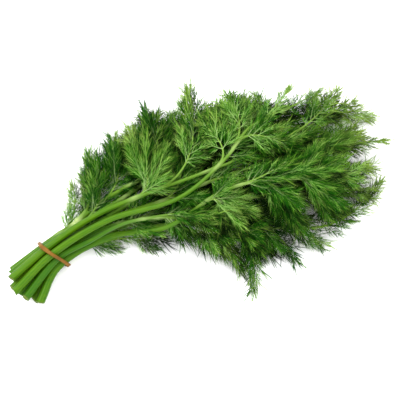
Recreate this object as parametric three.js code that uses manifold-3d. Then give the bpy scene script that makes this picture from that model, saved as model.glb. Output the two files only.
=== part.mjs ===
// A bunch of fresh dill: twelve leafy stems held near their cut ends by a rubber band, lying on a
// surface. Sizes are in millimetres, +Z is up and +X runs along the bunch from the cut ends to
// the leaf tips. The origin is on the surface, under the middle of the band.

import * as THREE from 'three';
import { mergeVertices } from 'three/addons/utils/BufferGeometryUtils.js';
import Module from 'manifold-3d';

const wasm = await Module();
wasm.setup();

// Driving sizes of the stems
const CUT_RADIUS = 3.3;
const STEM_RADIUS = 3.2;
const STEM_END_RADIUS = 0.75;
const STEM_SIDES = 6;
const STEPS_PER_STRETCH = 2;
const TIE_SHARE = 0.12;
const TAPER_POWER = 1.25;

// The bundle under the band: stems side by side in rows, each row in the dips of the one below
const PITCH = 7.3;
const ROW_RISE = 5.9;
const BAND = {
  thickness: 2.2, width: 3, gap: 0.8, lean: 5, slope: 0.34, rise: 0.04, turn: 0.5, arcSteps: 3,
};
const FIRST_ROW_HEIGHT = BAND.thickness + BAND.gap + STEM_RADIUS;
const CUT_END = { side: -17, spread: 1.55, height: 3.7, rise: 1.15 };

// The leaf spines: thin stalks that leave a stem forward and bend out to the leaf's tip
const SPINE = { rootRadius: 1.0, endRadius: 0.55, sides: 3, steps: 3, forward: 0.42, lift: 0.05 };
const TIP_SPRAY_ROOM = 8;
const SPINE_GAP = 0.5;
const SPINE_SAMPLES = 50;
const STEM_SAMPLES = 180;
const LIFTS = [0, 4, -4, 8, -8, 12, -12, 16];
const SHIFTS = [0, 6, -6, 12, -12];

// The sprays: slim ribs with pointed threads cut to the rib on both sides
const SPRAY = {
  thickness: 0.7, ribHalfWidth: 0.34, ribBulge: 0.16, sink: 0.6, firstThread: 3.2, threadedShare: 0.8,
  threadLength: 14, threadShare: 0.42, threadAngle: 27, stagger: 0.33, threads: 3, fewThreads: 2,
  droop: 0.05, wave: 3.2, waveStep: 0.9, gap: 0.3, shortest: 20, shortLength: 28,
};
const TWIST_LIMITS = [-50, 50];
const PHASE_LIMITS = [0, 6];

// The side sprays grow to the left and right of a spine by turns, raised a little, and are
// longest near its root. A leaf has one for each so many millimetres that it reaches.
const SIDE_SPRAYS = {
  reachEach: 29, fewest: 2, most: 3, firstShare: 0.28, lastShare: 0.72, longestReach: 80,
  tipLength: 0.26, rootGain: 0.24, lengthLimits: [0.9, 1.15], leanLimits: [34, 52],
  rise: 24, spinLimits: [-14, 14], turnLimits: [-30, 30],
};

// The end spray carries a spine on to the leaf's tip
const END_SPRAY = { share: 0.8, turn: 90, lean: 2, overrun: 1 };

// A spray that has no room is turned further about its spine, or else left out
const SPRAY_TURNS = [0, 26, -26, 52, -52, 78, -78];
const TWIST_SHARE = 0.5;
const SIBLING_OVERLAP = 0.6;
const FLOOR_GAP = 0.1;
const MERGE_DISTANCE = 1e-4;
const EDGE_TOLERANCE = 0.01;
const CURVE_TENSION = 0.5;

const DILL_GREEN = 0x4f8a35;
const BAND_ORANGE = 0xbe732d;

// Each stem has its row and place in the bundle, how far its cut end lies behind the band, the
// points that it passes beyond the band, and its leaves. A leaf is the share of the way along
// the stem where it grows, and the place of its tip.
const STEMS = [
  {
    row: 1, place: 1.5, back: 36,
    route: [[22, 16, 16], [52, 23, 26], [85, 24, 38], [120, 22, 43], [160, 30, 36], [200, 42, 24]],
    leaves: [[0.2, 37, 51, 16], [0.3, 57, 70, 26], [0.42, 82, 80, 18], [0.54, 123, 86, 22],
      [0.74, 177, 72, 16], [0.97, 213, 70, 14]],
  },
  {
    row: 3, place: 0.5, back: 38,
    route: [[40, 9, 36], [83, 6, 50], [125, 4, 54], [170, 8, 46], [215, 16, 34], [250, 26, 22]],
    leaves: [[0.4, 92, 62, 44], [0.46, 154, 86, 46], [0.6, 190, 54, 40], [0.72, 237, 12, 36],
      [0.84, 277, 47, 20], [0.97, 286, 34, 14]],
  },
  {
    row: 3, place: -0.5, back: 39,
    route: [[50, 0, 40], [105, -8, 52], [149, 5, 61], [177, 24, 58], [200, 34, 46], [222, 40, 34]],
    leaves: [[0.55, 149, 46, 60], [0.62, 180, 61, 54], [0.64, 207, 2, 54], [0.8, 230, 54, 38],
      [0.97, 259, 49, 26]],
  },
  {
    row: 2, place: -1, back: 33,
    route: [[30, -5, 25], [60, -6, 37], [90, -13, 39], [115, -23, 32], [150, -35, 24]],
    leaves: [[0.58, 146, -28, 44], [0.64, 121, -44, 26], [0.82, 158, -56, 24], [0.97, 173, -40, 30]],
  },
  {
    row: 1, place: -1.5, back: 24,
    route: [[45, -5, 18], [90, -21, 35], [134, -17, 54], [164, -20, 60], [195, -27, 54],
      [236, -34, 40]],
    leaves: [[0.54, 133, -53, 24], [0.66, 199, -15, 62], [0.7, 194, -62, 30], [0.8, 249, -15, 40],
      [0.86, 220, -58, 26], [0.97, 267, -32, 24]],
  },
  {
    row: 0, place: -1, back: 28,
    route: [[45, -4, 12], [95, -16, 24], [134, -34, 28], [175, -50, 20], [208, -60, 12]],
    leaves: [[0.2, 92, -20, 10], [0.56, 140, -72, 12], [0.67, 139, -94, 9], [0.76, 183, -79, 5],
      [0.84, 209, -73, 6], [0.97, 278, -42, 10]],
  },
  {
    row: 0, place: 0, back: 37,
    route: [[45, 2, 9], [95, 2, 12], [145, -4, 12], [195, -10, 10], [240, -18, 9]],
    leaves: [[0.24, 69, 12, 6], [0.34, 90, -4, 6], [0.5, 153, 24, 8], [0.6, 164, -62, 5],
      [0.72, 237, 20, 8], [0.84, 239, -53, 5], [0.97, 275, -26, 8]],
  },
  {
    row: 0, place: 1, back: 35,
    route: [[40, 16, 9], [85, 28, 12], [130, 40, 12], [170, 50, 10]],
    leaves: [[0.32, 48, 61, 6], [0.48, 100, 84, 6], [0.64, 139, 86, 5], [0.8, 175, 59, 6],
      [0.97, 204, 75, 5]],
  },
  {
    row: 1, place: -0.5, back: 36,
    route: [[50, 2, 20], [100, -12, 30], [150, -20, 32], [200, -26, 26], [236, -30, 18]],
    leaves: [[0.36, 108, 7, 12], [0.46, 104, -34, 14], [0.58, 163, -10, 30], [0.7, 193, -38, 20],
      [0.84, 246, -35, 20], [0.97, 264, -48, 10]],
  },
  {
    row: 1, place: 0.5, back: 37,
    route: [[45, 10, 20], [90, 18, 22], [140, 24, 24], [190, 32, 20], [235, 38, 14]],
    leaves: [[0.44, 119, 63, 18], [0.58, 171, 28, 26], [0.7, 214, 55, 14], [0.86, 272, 29, 12],
      [0.97, 298, 16, 8]],
  },
  {
    row: 2, place: 0, back: 40,
    route: [[50, 4, 30], [100, 0, 38], [150, 0, 42], [200, -2, 36], [246, -4, 26]],
    leaves: [[0.48, 127, 30, 46], [0.6, 168, -6, 46], [0.72, 221, -24, 34], [0.84, 273, 3, 24],
      [0.97, 295, -10, 14]],
  },
  {
    row: 2, place: 1, back: 37,
    route: [[40, 13, 27], [80, 22, 28], [115, 36, 26], [150, 48, 22]],
    leaves: [[0.34, 65, 66, 24], [0.54, 111, 82, 26], [0.64, 143, 39, 38], [0.82, 180, 63, 24],
      [0.97, 197, 75, 14]],
  },
];

const UP = new THREE.Vector3(0, 0, 1);

// A seeded stream of numbers between two limits
const CHANCE = { modulus: 2 ** 32, scatter: 2654435761, factor: 1664525, step: 1013904223 };
const FIRST_SEED = 1000;
const SEEDS_PER_STEM = 100;

function seededDraws(seed) {
  let state = (seed * CHANCE.scatter) % CHANCE.modulus;
  return ([low, high]) => {
    state = (state * CHANCE.factor + CHANCE.step) % CHANCE.modulus;
    return low + (high - low) * state / CHANCE.modulus;
  };
}

function radians(degrees) {
  return THREE.MathUtils.degToRad(degrees);
}

// The direction square to the given one that points most nearly up
function upAcross(direction) {
  return UP.clone().addScaledVector(direction, -direction.z).normalize();
}

// A closed mesh becomes a solid once its shared corners are merged
function solidOf(geometry) {
  geometry.deleteAttribute('normal');
  geometry.deleteAttribute('uv');
  const merged = mergeVertices(geometry, MERGE_DISTANCE);
  const corners = merged.index.array;
  const triangles = [];
  for (let i = 0; i < corners.length; i += 3) {
    const [a, b, c] = corners.slice(i, i + 3);
    if (a !== b && b !== c && c !== a) triangles.push(a, b, c);
  }
  const vertProperties = new Float32Array(merged.getAttribute('position').array);
  const triVerts = new Uint32Array(triangles);
  return new wasm.Manifold(new wasm.Mesh({ numProp: 3, vertProperties, triVerts }));
}

function geometryOf(solid) {
  const { vertProperties, triVerts } = solid.getMesh();
  const geometry = new THREE.BufferGeometry();
  geometry.setAttribute('position', new THREE.BufferAttribute(vertProperties, 3));
  geometry.setIndex(new THREE.BufferAttribute(triVerts, 1));
  geometry.computeVertexNormals();
  return geometry;
}

// Moves every corner of a geometry to where a rule says
function bend(geometry, rule) {
  const position = geometry.getAttribute('position');
  const corner = new THREE.Vector3();
  for (let i = 0; i < position.count; i += 1) {
    corner.fromBufferAttribute(position, i);
    const place = rule(corner);
    position.setXYZ(i, place.x, place.y, place.z);
  }
  return geometry;
}

// A tapered tube along a curve: the rings of a unit cylinder are carried on to the curve
function tube(curve, radiusAt, sides, steps) {
  return bend(new THREE.CylinderGeometry(1, 1, 1, sides, steps), ({ x, y, z }) => {
    const share = y + 0.5;
    const along = curve.getTangent(share);
    const up = upAcross(along);
    const side = along.clone().cross(up);
    return curve.getPoint(share)
      .addScaledVector(side, x * radiusAt(share))
      .addScaledVector(up, z * radiusAt(share));
  });
}

// The point of such a tube's axis, which runs straight from ring to ring
function axisPoint(curve, share, steps) {
  const ring = Math.min(Math.floor(share * steps), steps - 1);
  const start = curve.getPoint(ring / steps);
  return start.lerp(curve.getPoint((ring + 1) / steps), share * steps - ring);
}

function stemRadiusAt(share) {
  if (share < TIE_SHARE) return THREE.MathUtils.lerp(CUT_RADIUS, STEM_RADIUS, share / TIE_SHARE);
  const left = (1 - share) / (1 - TIE_SHARE);
  return STEM_END_RADIUS + (STEM_RADIUS - STEM_END_RADIUS) * left ** TAPER_POWER;
}

// Where a stem passes through the band
function placeInBundle({ row, place }) {
  return new THREE.Vector3(0, place * PITCH, FIRST_ROW_HEIGHT + row * ROW_RISE);
}

// A stem's tube has a ring at every point that the stem passes, and as many between them
function stemSteps(stemLine) {
  return STEPS_PER_STRETCH * (stemLine.points.length - 1);
}

function stemCurve(stem) {
  const tie = placeInBundle(stem);
  const cut = new THREE.Vector3(
    -stem.back,
    CUT_END.side + CUT_END.spread * tie.y,
    CUT_END.height + CUT_END.rise * (tie.z - FIRST_ROW_HEIGHT),
  );
  const beyond = stem.route.map((point) => new THREE.Vector3(...point));
  return new THREE.CatmullRomCurve3([cut, tie, ...beyond], false, 'catmullrom', CURVE_TENSION);
}

// A leaf's spine leaves the stem forward and bends out to end just short of the leaf's tip
function spineCurve(stemLine, [share, x, y, z], lift, shift) {
  const root = axisPoint(stemLine, share, stemSteps(stemLine));
  const forward = stemLine.getTangent(share);
  const tip = new THREE.Vector3(x, y, z + lift);
  const reach = tip.distanceTo(root);
  const aside = tip.clone().sub(root).cross(UP).normalize();
  tip.addScaledVector(aside, shift);
  const end = tip.lerp(root, TIP_SPRAY_ROOM / reach);
  const middle = root.clone().addScaledVector(forward, reach * SPINE.forward);
  middle.z += reach * SPINE.lift;
  return new THREE.QuadraticBezierCurve3(root, middle, end);
}

function spineRadiusAt(share) {
  return THREE.MathUtils.lerp(SPINE.rootRadius, SPINE.endRadius, share);
}

function samples(curve, radiusAt, count) {
  return Array.from({ length: count + 1 }, (_, i) => ({
    point: curve.getPoint(i / count), radius: radiusAt(i / count),
  }));
}

function crowded(mine, others) {
  return mine.some((a) => others.some((b) => {
    const room = a.radius + b.radius + SPINE_GAP;
    return a.point.distanceToSquared(b.point) < room * room;
  }));
}

// Gives every leaf a spine that stays clear of the other stems and their leaves
function growSpines(stemLines) {
  const taken = stemLines.map((line) => samples(line, stemRadiusAt, STEM_SAMPLES));
  return STEMS.map((stem, owner) => stem.leaves.map((leaf) => {
    const others = taken.filter((_, index) => index !== owner).flat();
    const clear = (curve) => {
      const points = samples(curve, spineRadiusAt, SPINE_SAMPLES);
      return points.every(({ point }) => point.z > FLOOR_GAP + SPINE.rootRadius)
        && !crowded(points, others);
    };
    const tries = SHIFTS.flatMap((shift) => LIFTS.map((lift) => [lift, shift]));
    const [lift, shift] = tries.find((bends) => clear(spineCurve(stemLines[owner], leaf, ...bends)))
      ?? tries[0];
    const curve = spineCurve(stemLines[owner], leaf, lift, shift);
    taken[owner].push(...samples(curve, spineRadiusAt, SPINE_SAMPLES));
    return curve;
  }));
}

// The flat outline of a spray: its rib lies on the x axis, with threads swept forward from it
function sprayOutline(length, threads, margin) {
  const angle = radians(SPRAY.threadAngle);
  const reach = Math.min(SPRAY.threadLength, length * SPRAY.threadShare) + margin;
  const ribEdge = (x) => margin + SPRAY.ribHalfWidth + SPRAY.ribBulge * (1 - (x / length) ** 2);
  const step = (length * SPRAY.threadedShare - SPRAY.firstThread) / threads;
  const side = (sign) => {
    const start = SPRAY.firstThread - (sign > 0 ? 0 : step * SPRAY.stagger);
    const points = [];
    for (let i = 0; i <= threads; i += 1) {
      const x = start + i * step;
      points.push(new THREE.Vector2(x, sign * ribEdge(x)));
      if (i === threads) break;
      const tip = x + step / 2 + reach * Math.cos(angle);
      points.push(new THREE.Vector2(tip, sign * (ribEdge(x) + reach * Math.sin(angle))));
    }
    return points;
  };
  const root = new THREE.Vector2(-SPRAY.sink, 0);
  const end = new THREE.Vector2(length + margin, 0);
  return new THREE.Shape([root, ...side(-1), end, ...side(1).reverse()]);
}

// A spray stands on a point of a spine, points along a direction and lies in a plane whose
// normal is given. It droops, and the tips of its threads wave out of the plane. A margin makes
// the slightly larger body that is used to test for room.
function spray({ root, along, normal, length, threads, phase }, margin = 0) {
  const thickness = SPRAY.thickness + 2 * margin;
  const shape = sprayOutline(length, threads, margin);
  const flat = new THREE.ExtrudeGeometry(shape, { depth: thickness, bevelEnabled: false, steps: 1 });
  const across = normal.clone().cross(along);
  const ribLimit = SPRAY.ribHalfWidth + SPRAY.ribBulge + margin + EDGE_TOLERANCE;
  const tipShift = margin * Math.cos(radians(SPRAY.threadAngle));
  return bend(flat, ({ x, y, z }) => {
    const isThreadTip = Math.abs(y) > ribLimit;
    const isEnd = x >= length || x <= -SPRAY.sink + EDGE_TOLERANCE;
    const half = isThreadTip || isEnd ? margin : thickness / 2;
    const wavePlace = phase + SPRAY.waveStep * (x - tipShift);
    const wave = isThreadTip ? SPRAY.wave * Math.sin(wavePlace) : 0;
    const place = root.clone()
      .addScaledVector(along, x)
      .addScaledVector(across, y)
      .addScaledVector(normal, wave + (z > thickness / 2 ? half : -half));
    place.z -= SPRAY.droop * length * (x / length) ** 2;
    return place;
  });
}

// The sprays of one leaf, as a list of what each needs to be made: some along the spine, turned
// about it in many directions, and one that carries the spine on to the leaf's tip
function sprayPlans(spine, draw) {
  const reach = spine.v0.distanceTo(spine.v2);
  const { reachEach, fewest, most, firstShare, lastShare, longestReach } = SIDE_SPRAYS;
  const count = Math.round(THREE.MathUtils.clamp(reach / reachEach, fewest, most));
  const spin = draw(SIDE_SPRAYS.spinLimits);
  const plan = (share, turn, lean, length) => ({
    share, forward: spine.getTangent(share), turn, lean, length: Math.max(SPRAY.shortest, length),
    twist: draw(TWIST_LIMITS), phase: draw(PHASE_LIMITS),
  });
  const plans = Array.from({ length: count }, (_, i) => {
    const share = THREE.MathUtils.lerp(firstShare, lastShare, i / (count - 1));
    const side = i % 2 ? 180 + SIDE_SPRAYS.rise : -SIDE_SPRAYS.rise;
    const turn = side + spin + draw(SIDE_SPRAYS.turnLimits);
    const size = SIDE_SPRAYS.tipLength + SIDE_SPRAYS.rootGain * (1 - share);
    const length = Math.min(reach, longestReach) * size * draw(SIDE_SPRAYS.lengthLimits);
    return plan(share, turn, draw(SIDE_SPRAYS.leanLimits), length);
  });
  const left = spine.getPoint(END_SPRAY.share).distanceTo(spine.v2);
  const length = left + TIP_SPRAY_ROOM + END_SPRAY.overrun;
  return [...plans, plan(END_SPRAY.share, END_SPRAY.turn, END_SPRAY.lean, length)];
}

// Turns a plan into the place and directions of a spray, turned further about the spine
function placeSpray(spine, plan, extraTurn) {
  const up = upAcross(plan.forward);
  const side = plan.forward.clone().cross(up);
  side.applyAxisAngle(plan.forward, radians(plan.turn + extraTurn));
  const along = plan.forward.clone().multiplyScalar(Math.cos(radians(plan.lean)))
    .addScaledVector(side, Math.sin(radians(plan.lean)));
  const normal = upAcross(along).applyAxisAngle(along, radians(plan.twist + extraTurn * TWIST_SHARE));
  const threads = plan.length < SPRAY.shortLength ? SPRAY.fewThreads : SPRAY.threads;
  const root = axisPoint(spine, plan.share, SPINE.steps);
  return { root, along, normal, length: plan.length, threads, phase: plan.phase };
}

function boxesMeet(a, b) {
  return a.min.every((low, axis) => low <= b.max[axis] && b.min[axis] <= a.max[axis]);
}

// Keeps the list of bodies already in place, and says whether a new one has room among them
class Room {
  constructor() {
    this.bodies = [];
  }

  add(solid, owner, leaf) {
    this.bodies.push({ solid, owner, leaf, box: solid.boundingBox() });
  }

  has(solid, owner, leaf) {
    const box = solid.boundingBox();
    if (box.min[2] < FLOOR_GAP) return false;
    return this.bodies.every((body) => {
      if (!boxesMeet(box, body.box)) return true;
      const isOwnSpine = body.owner === owner && body.leaf === leaf && body.isSpine;
      if (isOwnSpine) return true;
      const shared = solid.intersect(body.solid);
      return body.owner === owner ? shared.volume() < SIBLING_OVERLAP : shared.isEmpty();
    });
  }
}

// The rubber band: an outline that hugs the bundle, flat underneath, with its top pulled towards
// the cut ends
function bandOutline(distance) {
  const corners = [
    { row: 0, place: 1 }, { row: 1, place: 1.5 }, { row: 3, place: 0.5 },
    { row: 3, place: -0.5 }, { row: 1, place: -1.5 }, { row: 0, place: -1 },
  ].map(placeInBundle);
  const outwardAngle = (from, to) => Math.atan2(to.z - from.z, to.y - from.y) - Math.PI / 2;
  const outline = new THREE.Path();
  corners.forEach((corner, i) => {
    const before = corners.at(i - 1);
    const after = corners[(i + 1) % corners.length];
    const start = outwardAngle(before, corner);
    const end = outwardAngle(corner, after);
    outline.absarc(corner.y, corner.z, distance, start, end, false);
  });
  return outline;
}

function rubberBand() {
  const inner = STEM_RADIUS + BAND.gap;
  const shape = new THREE.Shape(bandOutline(inner + BAND.thickness).getPoints(BAND.arcSteps));
  shape.holes.push(new THREE.Path(bandOutline(inner).getPoints(BAND.arcSteps)));
  const flat = new THREE.ExtrudeGeometry(shape, { depth: BAND.width, bevelEnabled: false, steps: 1 });
  flat.computeBoundingBox();
  const height = flat.boundingBox.max.y;
  return bend(flat, ({ x, y, z }) => {
    const along = z - BAND.width / 2 - BAND.lean * (y / height) ** 2 - BAND.turn * x;
    return new THREE.Vector3(along, x + BAND.slope * along, y * (1 + BAND.rise * along / height));
  });
}

function leafyStems() {
  const stemLines = STEMS.map(stemCurve);
  const spines = growSpines(stemLines);
  const room = new Room();
  const parts = stemLines.map((line, owner) => {
    const solid = solidOf(tube(line, stemRadiusAt, STEM_SIDES, stemSteps(line)));
    room.add(solid, owner, -1);
    return [solid];
  });
  spines.forEach((ofStem, owner) => ofStem.forEach((spine, leaf) => {
    const solid = solidOf(tube(spine, spineRadiusAt, SPINE.sides, SPINE.steps));
    room.bodies.push({ solid, owner, leaf, box: solid.boundingBox(), isSpine: true });
    parts[owner].push(solid);
  }));
  spines.forEach((ofStem, owner) => ofStem.forEach((spine, leaf) => {
    const draw = seededDraws(FIRST_SEED + SEEDS_PER_STEM * (owner + 1) + leaf);
    sprayPlans(spine, draw).forEach((plan) => {
      const turns = SPRAY_TURNS.map((turn) => placeSpray(spine, plan, turn));
      const placed = turns.find((place) => room.has(solidOf(spray(place, SPRAY.gap)), owner, leaf));
      if (!placed) return;
      const solid = solidOf(spray(placed));
      room.add(solid, owner, leaf);
      parts[owner].push(solid);
    });
  }));
  return parts.map((pieces) => pieces.reduce((whole, piece) => whole.add(piece)));
}

const dill = new THREE.Group();
const green = new THREE.MeshStandardMaterial({ color: DILL_GREEN, roughness: 0.6, metalness: 0 });
leafyStems().forEach((solid, index) => {
  const stem = new THREE.Mesh(geometryOf(solid), green);
  stem.name = `leafy_stem_${index + 1}`;
  dill.add(stem);
});

const orange = new THREE.MeshStandardMaterial({ color: BAND_ORANGE, roughness: 0.5, metalness: 0 });
const band = new THREE.Mesh(rubberBand(), orange);
band.name = 'rubber_band';
dill.add(band);

export default dill;
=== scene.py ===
"""A bunch of fresh dill, lying down and held near its cut ends by a rubber band.

The solid model gives the frame. Each of its leafy stems is dressed by two pieces: the ridged
stalk with its leaf stalks, and the fronds, which divide three times down to single threads. The
band is dressed by a rounded ring. Lengths are in millimetres until a mesh is made.
"""

import logging
import math
from collections.abc import Sequence
from dataclasses import dataclass, field
from enum import Enum

import bpy
import numpy as np
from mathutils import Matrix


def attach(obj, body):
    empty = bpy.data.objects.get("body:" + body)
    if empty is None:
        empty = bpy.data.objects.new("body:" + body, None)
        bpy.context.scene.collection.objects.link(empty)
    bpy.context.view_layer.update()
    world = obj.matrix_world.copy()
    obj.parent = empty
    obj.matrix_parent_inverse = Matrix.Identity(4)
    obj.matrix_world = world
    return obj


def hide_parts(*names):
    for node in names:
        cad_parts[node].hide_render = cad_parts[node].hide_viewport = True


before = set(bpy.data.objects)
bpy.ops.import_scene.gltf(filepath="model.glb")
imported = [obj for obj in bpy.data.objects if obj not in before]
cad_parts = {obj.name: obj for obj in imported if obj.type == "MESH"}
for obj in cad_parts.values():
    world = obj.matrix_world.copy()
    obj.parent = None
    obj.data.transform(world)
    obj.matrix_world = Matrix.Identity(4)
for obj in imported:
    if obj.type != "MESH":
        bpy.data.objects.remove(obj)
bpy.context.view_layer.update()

Array = np.ndarray
Colour = tuple[float, float, float, float]
Point = tuple[float, float, float]
Leaf = tuple[float, float, float, float]
Range = tuple[float, float]
LeafStalk = tuple[Array, Array, Array]

METRES = 0.001
BODY = "root"
UP = np.array([0.0, 0.0, 1.0])
# Not quite upright, so that no shoot runs along it
NEARLY_UP = np.array([0.02, 0.01, 1.0])
FULL_TURN = 2 * math.pi
FINE_DETAIL = 3.0
COARSE_DETAIL = 2.0
# The numbers of a Mix node's sockets for colours
MIX_FACTOR, MIX_FIRST, MIX_SECOND, MIX_RESULT = 0, 6, 7, 2

log = logging.getLogger("dill")


# Vectors, curves and colours


def unit(vectors: Array) -> Array:
    """Scale vectors to a length of one."""
    return vectors / np.maximum(np.linalg.norm(vectors, axis=-1, keepdims=True), 1e-9)


def square_to(vectors: Array, directions: Array) -> Array:
    """Turn vectors square to unit directions, by the shortest way, and make them one long."""
    return unit(vectors - (vectors * directions).sum(-1, keepdims=True) * directions)


def curve_point(start: Array, middle: Array, end: Array, share: Array) -> Array:
    """Give points, at shares of the way, of curves that bend towards a middle."""
    s = np.asarray(share, dtype=float)[..., None]
    return (1 - s) ** 2 * start + 2 * s * (1 - s) * middle + s**2 * end


def curve_heading(start: Array, middle: Array, end: Array, share: Array) -> Array:
    """Give such curves' directions at shares of the way."""
    s = np.asarray(share, dtype=float)[..., None]
    return unit((1 - s) * (middle - start) + s * (end - middle))


def bump(distance: Array, width: float) -> Array:
    """Fall smoothly from 1 towards 0 over a few widths."""
    return np.exp(-((distance / width) ** 2))


def angles_round(count: int) -> Array:
    """Give evenly spaced angles of a full turn."""
    return np.arange(count) * FULL_TURN / count


def paint(red: int, green: int, blue: int) -> Colour:
    """Turn a colour as it is seen, from 0 to 255, into the linear colour that shaders use.

    Args:
        red: Share of red.
        green: Share of green.
        blue: Share of blue.

    Returns:
        The linear colour, with full cover.
    """
    linear = [
        (v / 255 / 12.92) if v <= 10 else ((v / 255 + 0.055) / 1.055) ** 2.4
        for v in (red, green, blue)
    ]
    return (*linear, 1.0)


# Shader arithmetic


@dataclass(frozen=True)
class Wire:
    """An output of a finish's node tree, with the arithmetic that the finishes use.

    Attributes:
        recipe: The tree that the socket is in.
        socket: The output socket, or None where a node has no outputs.
    """

    recipe: "Recipe"
    socket: bpy.types.NodeSocket | None

    def __add__(self, other: "Wire | float") -> "Wire":
        """Add a socket or a number."""
        return self.recipe.number("ADD", self, other)

    __radd__ = __add__

    def __mul__(self, other: "Wire | float") -> "Wire":
        """Multiply by a socket or a number."""
        return self.recipe.number("MULTIPLY", self, other)

    def __rsub__(self, other: float) -> "Wire":
        """Take this socket away from a number."""
        return self.recipe.number("SUBTRACT", other, self)


class Recipe:
    """The node tree of one finish."""

    def __init__(self, name: str) -> None:
        """Start a material with an empty tree.

        Args:
            name: The material's name.
        """
        self.material = bpy.data.materials.new(name)
        self.material.use_nodes = True
        self.tree = self.material.node_tree
        self.tree.nodes.clear()

    def node(
        self,
        kind: str,
        settings: dict[str, object] | None = None,
        sockets: dict[str | int, object] | None = None,
        output: str | int = 0,
    ) -> Wire:
        """Add a node.

        Args:
            kind: The node's type.
            settings: Its settings, set before its sockets.
            sockets: Values or wires for its inputs, by name or number.
            output: The output to hand back.

        Returns:
            A wire from that output.
        """
        node = self.tree.nodes.new(kind)
        for name, value in (settings or {}).items():
            setattr(node, name, value)
        for name, value in (sockets or {}).items():
            if isinstance(value, Wire):
                self.tree.links.new(value.socket, node.inputs[name])
            else:
                node.inputs[name].default_value = value
        return Wire(self, node.outputs[output] if node.outputs else None)

    def number(self, operation: str, *values: "Wire | float") -> Wire:
        """Add a Math node on sockets and numbers."""
        return self.node("ShaderNodeMath", {"operation": operation}, dict(enumerate(values)))

    def mark(self, name: str) -> Wire:
        """Read a value that the mesh carries at its corners."""
        return self.node("ShaderNodeAttribute", {"attribute_name": name}, output="Fac")

    def smooth(self, value: Wire, low: float, high: float) -> Wire:
        """Fade from 0 to 1 as a value goes from low to high."""
        settings = {"interpolation_type": "SMOOTHSTEP"}
        return self.node("ShaderNodeMapRange", settings, {0: value, 1: low, 2: high})

    def noise(self, grain: Point, detail: float = FINE_DETAIL) -> Wire:
        """Add a cloudy pattern in the object's own space.

        Args:
            grain: The pattern's size along X, Y and Z, in millimetres.
            detail: How many finer layers it has.

        Returns:
            The pattern, mostly from 0.3 to 0.7.
        """
        place = self.node("ShaderNodeTexCoord", output="Object")
        scale = tuple(1 / (METRES * size) for size in grain)
        stretched = self.node("ShaderNodeMapping", sockets={"Vector": place, "Scale": scale})
        sockets = {"Vector": stretched, "Scale": 1.0, "Detail": detail}
        return self.node("ShaderNodeTexNoise", sockets=sockets)

    def mix(self, factor: Wire | float, first: Wire | Colour, second: Wire | Colour) -> Wire:
        """Blend two colours.

        Args:
            factor: The share of the second colour.
            first: The colour where the factor is 0.
            second: The colour where it is 1.

        Returns:
            The blended colour.
        """
        settings = {"data_type": "RGBA", "clamp_factor": True}
        sockets = {MIX_FACTOR: factor, MIX_FIRST: first, MIX_SECOND: second}
        return self.node("ShaderNodeMix", settings, sockets, MIX_RESULT)

    def finish(
        self,
        colour: Wire,
        roughness: Wire | float,
        height: Wire | None = None,
        depth: float = 0.0,
        specular: float = 0.5,
    ) -> bpy.types.Material:
        """Close the tree with its surface.

        Args:
            colour: The surface's colour.
            roughness: Its roughness.
            height: Its fine relief, from 0 to 1.
            depth: The relief's depth in millimetres.
            specular: How strongly it mirrors.

        Returns:
            The finished material.
        """
        sockets = {"Base Color": colour, "Roughness": roughness, "Specular IOR Level": specular}
        if height is not None:
            relief = {"Height": height, "Strength": 1.0, "Distance": depth * METRES}
            sockets["Normal"] = self.node("ShaderNodeBump", sockets=relief)
        shader = self.node("ShaderNodeBsdfPrincipled", sockets=sockets)
        self.node("ShaderNodeOutputMaterial", sockets={"Surface": shader})
        return self.material


# Finishes


class Slot(Enum):
    """The record's material slots."""

    DILL = "dill"
    BAND = "band"


@dataclass(frozen=True)
class StalkFinish:
    """The skin of stems and leaf stalks: smooth, striped green, pale at the joints."""

    deep: Colour = paint(38, 82, 2)
    fresh: Colour = paint(64, 98, 0)
    slim: Colour = paint(106, 138, 54)
    joint: Colour = paint(170, 186, 124)
    cut: Colour = paint(64, 85, 18)
    pith: Colour = paint(99, 115, 48)
    streak_grain: Point = (60.0, 1.6, 1.6)
    patch_grain: Point = (34.0, 12.0, 12.0)
    light_range: Range = (0.5, 1.35)
    slim_range: Range = (0.25, 1.0)
    slim_strength: float = 0.85
    roughness: float = 0.34
    relief: float = 0.12
    specular: float = 0.1

    def material(self) -> bpy.types.Material:
        """Build the finish from the marks ridge, stretch, pale, tone, cut and pith.

        Returns:
            The material.
        """
        recipe = Recipe("stalk_green")
        ridge, stretch, pale, tone, cut, pith = (
            recipe.mark(name) for name in ("ridge", "stretch", "pale", "tone", "cut", "pith")
        )
        streak = recipe.noise(self.streak_grain)
        patch = recipe.noise(self.patch_grain, COARSE_DETAIL)
        light = recipe.smooth(ridge * 0.26 + streak + patch * 0.8 + tone * 0.4, *self.light_range)
        green = recipe.mix(light, self.deep, self.fresh)
        slim = recipe.smooth(stretch, *self.slim_range) * self.slim_strength
        green = recipe.mix(slim, green, self.slim)
        green = recipe.mix(pale * (streak * 0.7 + 0.5), green, self.joint)
        green = recipe.mix(cut, green, self.cut)
        green = recipe.mix(pith, green, self.pith)
        roughness = self.roughness + streak * 0.22 + cut * 0.2
        return recipe.finish(green, roughness, ridge * 0.4 + streak, self.relief, self.specular)


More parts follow.
